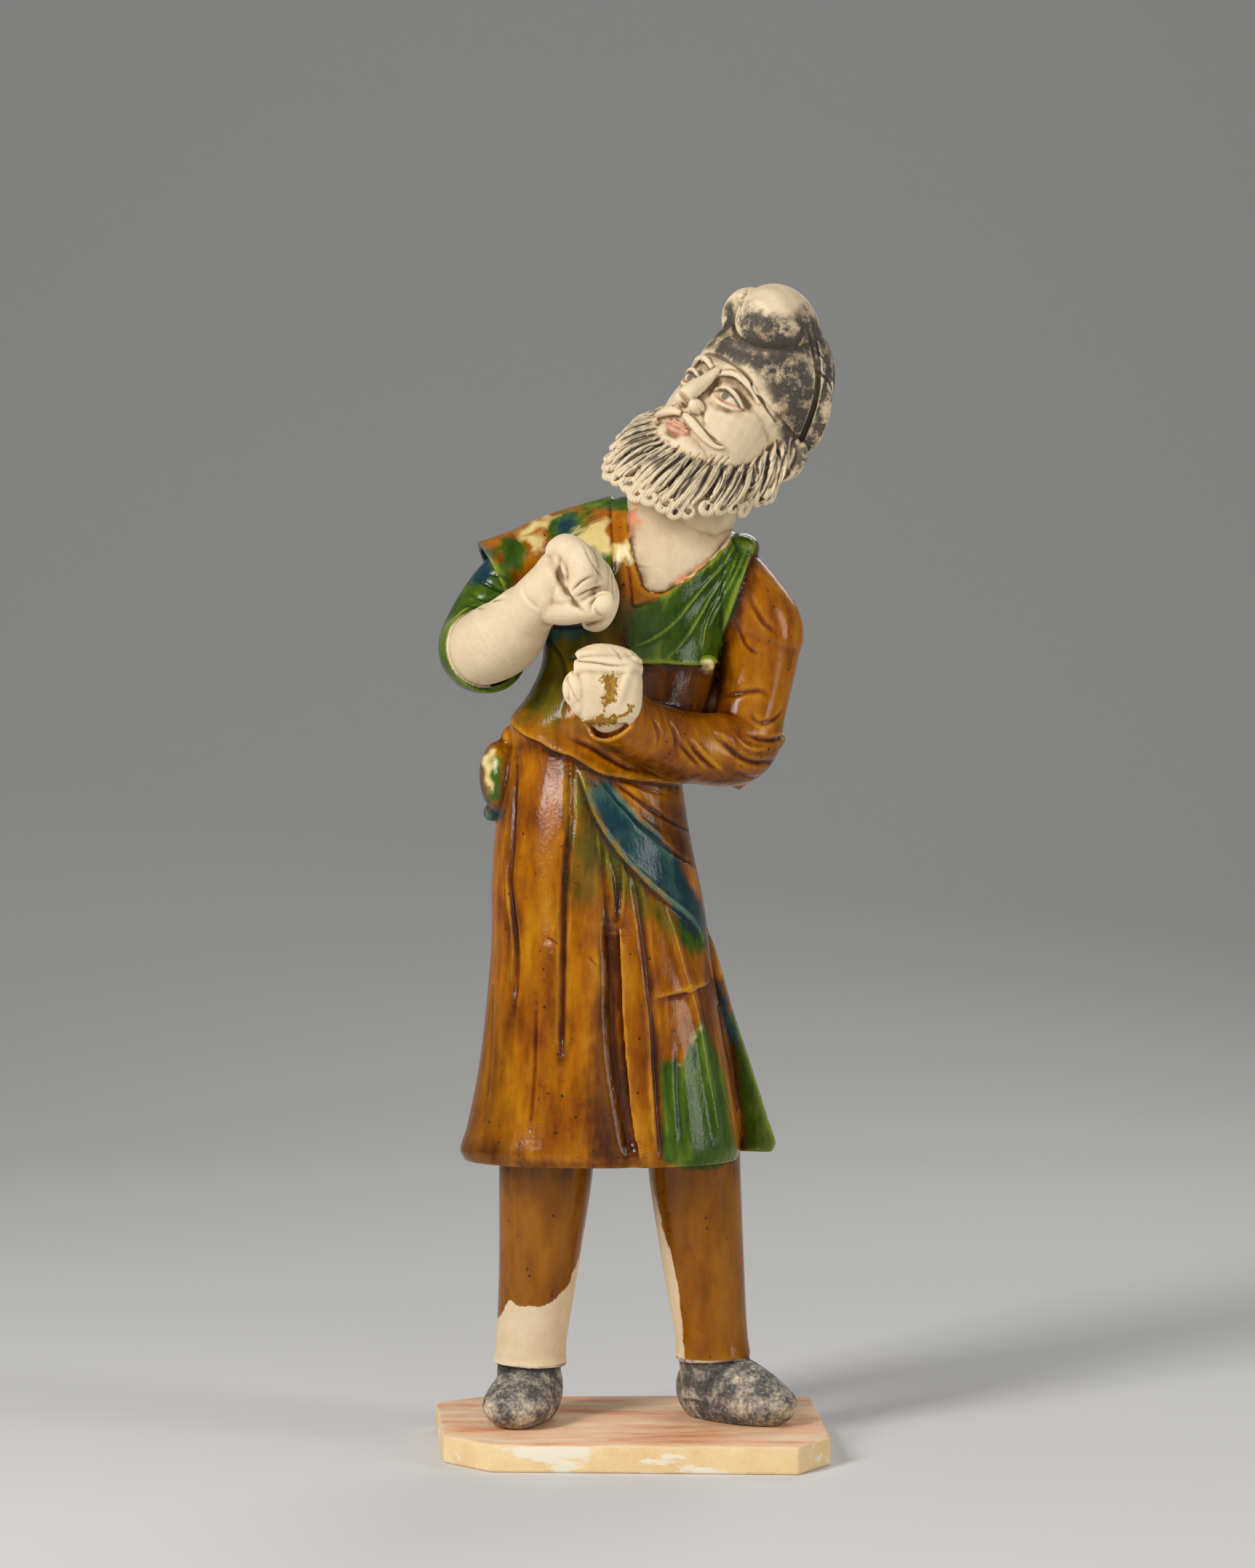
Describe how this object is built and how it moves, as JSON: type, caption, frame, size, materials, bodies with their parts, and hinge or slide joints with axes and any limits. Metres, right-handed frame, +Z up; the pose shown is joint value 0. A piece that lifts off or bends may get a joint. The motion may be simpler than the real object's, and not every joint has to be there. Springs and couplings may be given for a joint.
{
  "type": "glazed pottery groom figure",
  "caption": "Standing pottery groom in a belted coat, fists held to lead an animal, with a bearded tilted head and runny amber, green and cream glaze, on a thin clay slab.",
  "frame": {"origin": "middle of the slab's underside, where the object rests", "axes": "+Z up along the figure's height, front of the figure towards -Y, the figure's left hand towards +X"},
  "size_m": [0.2228, 0.1669, 0.6371],
  "materials": {
    "three_colour_glaze": "glossy run lead glaze in amber, green, blue and cream over bare pinkish clay on the head, hands and lower legs",
    "bare_clay": "matt, unglazed, with worn orange streaks"
  },
  "bodies": {
    "root": {"groom_figure": "three_colour_glaze", "base_slab": "bare_clay"}
  },
  "joints": []
}
